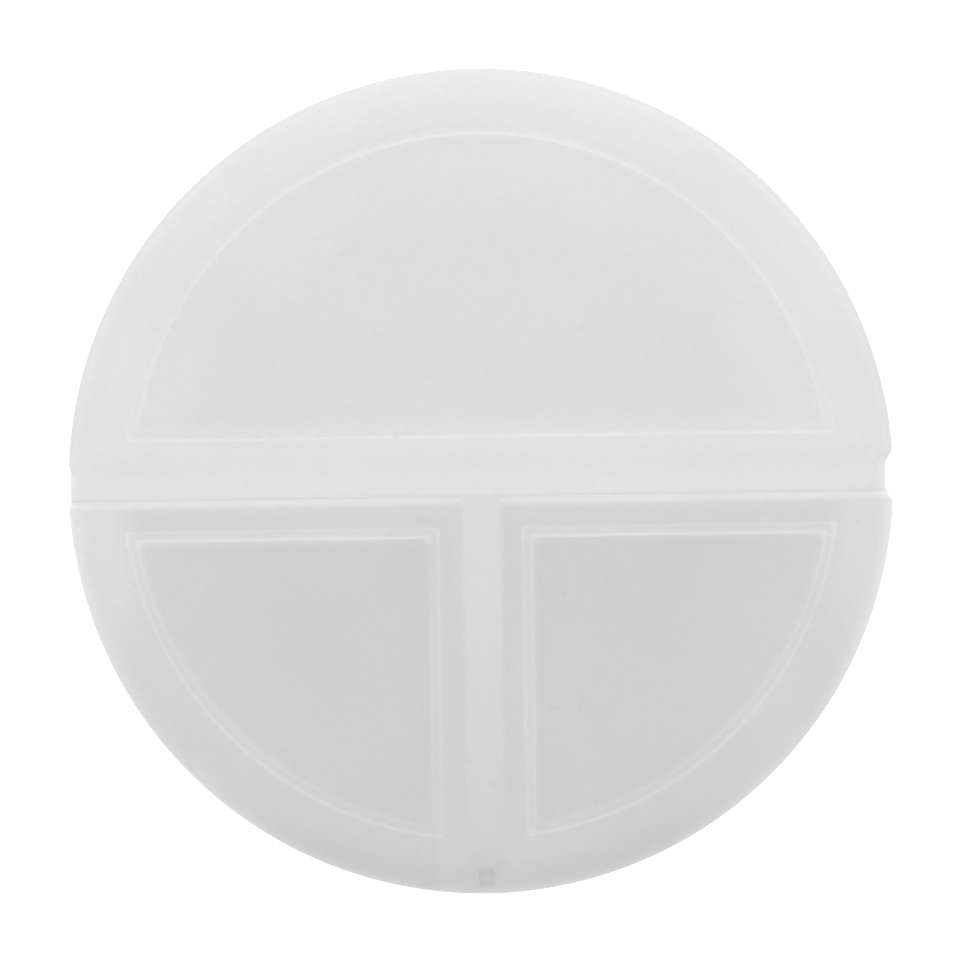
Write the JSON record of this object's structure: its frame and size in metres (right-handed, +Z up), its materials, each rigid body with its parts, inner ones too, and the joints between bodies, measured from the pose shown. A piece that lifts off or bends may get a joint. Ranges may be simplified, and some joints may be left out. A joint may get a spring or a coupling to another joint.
{
  "type": "travel pill organizer",
  "caption": "Round pocket pill organizer: clouded plastic tray with half-moon and quarter-round compartments under flip lids on living hinges.",
  "frame": {"origin": "centre of the round footprint, on the plane that the tray stands on", "axes": "+Z up through the lids, +Y towards the half-moon compartment, +X along the bar so that the right-hand small lid is on +X, -Y"},
  "size_m": [0.0738, 0.074, 0.018],
  "materials": {
    "tray_plastic": "natural clouded polypropylene, fine satin moulded surface, lets light through",
    "lid_plastic": "natural clouded polypropylene, fine satin moulded surface, lets light through",
    "hinge_film": "thin folded polypropylene film, smoother and clearer than the lids"
  },
  "bodies": {
    "tray": {"base_tray": "tray_plastic", "hinge_bar": "lid_plastic", "living_hinge_large": "hinge_film", "living_hinge_left": "hinge_film", "living_hinge_right": "hinge_film"},
    "large_lid": {"lid_large": "lid_plastic"},
    "left_lid": {"lid_left": "lid_plastic"},
    "right_lid": {"lid_right": "lid_plastic"}
  },
  "joints": [
    {"name": "large_lid_hinge", "type": "hinge", "parent": "tray", "child": "large_lid", "pos_m": [0, 0.00165, 0.01783], "axis": [1, 0, 0], "range_deg": [0, 92]},
    {"name": "left_lid_hinge", "type": "hinge", "parent": "tray", "child": "left_lid", "pos_m": [-0.00155, 0, 0.01783], "axis": [0, 1, 0], "range_deg": [0, 90]},
    {"name": "right_lid_hinge", "type": "hinge", "parent": "tray", "child": "right_lid", "pos_m": [0.00155, 0, 0.01783], "axis": [0, -1, 0], "range_deg": [0, 90]}
  ]
}
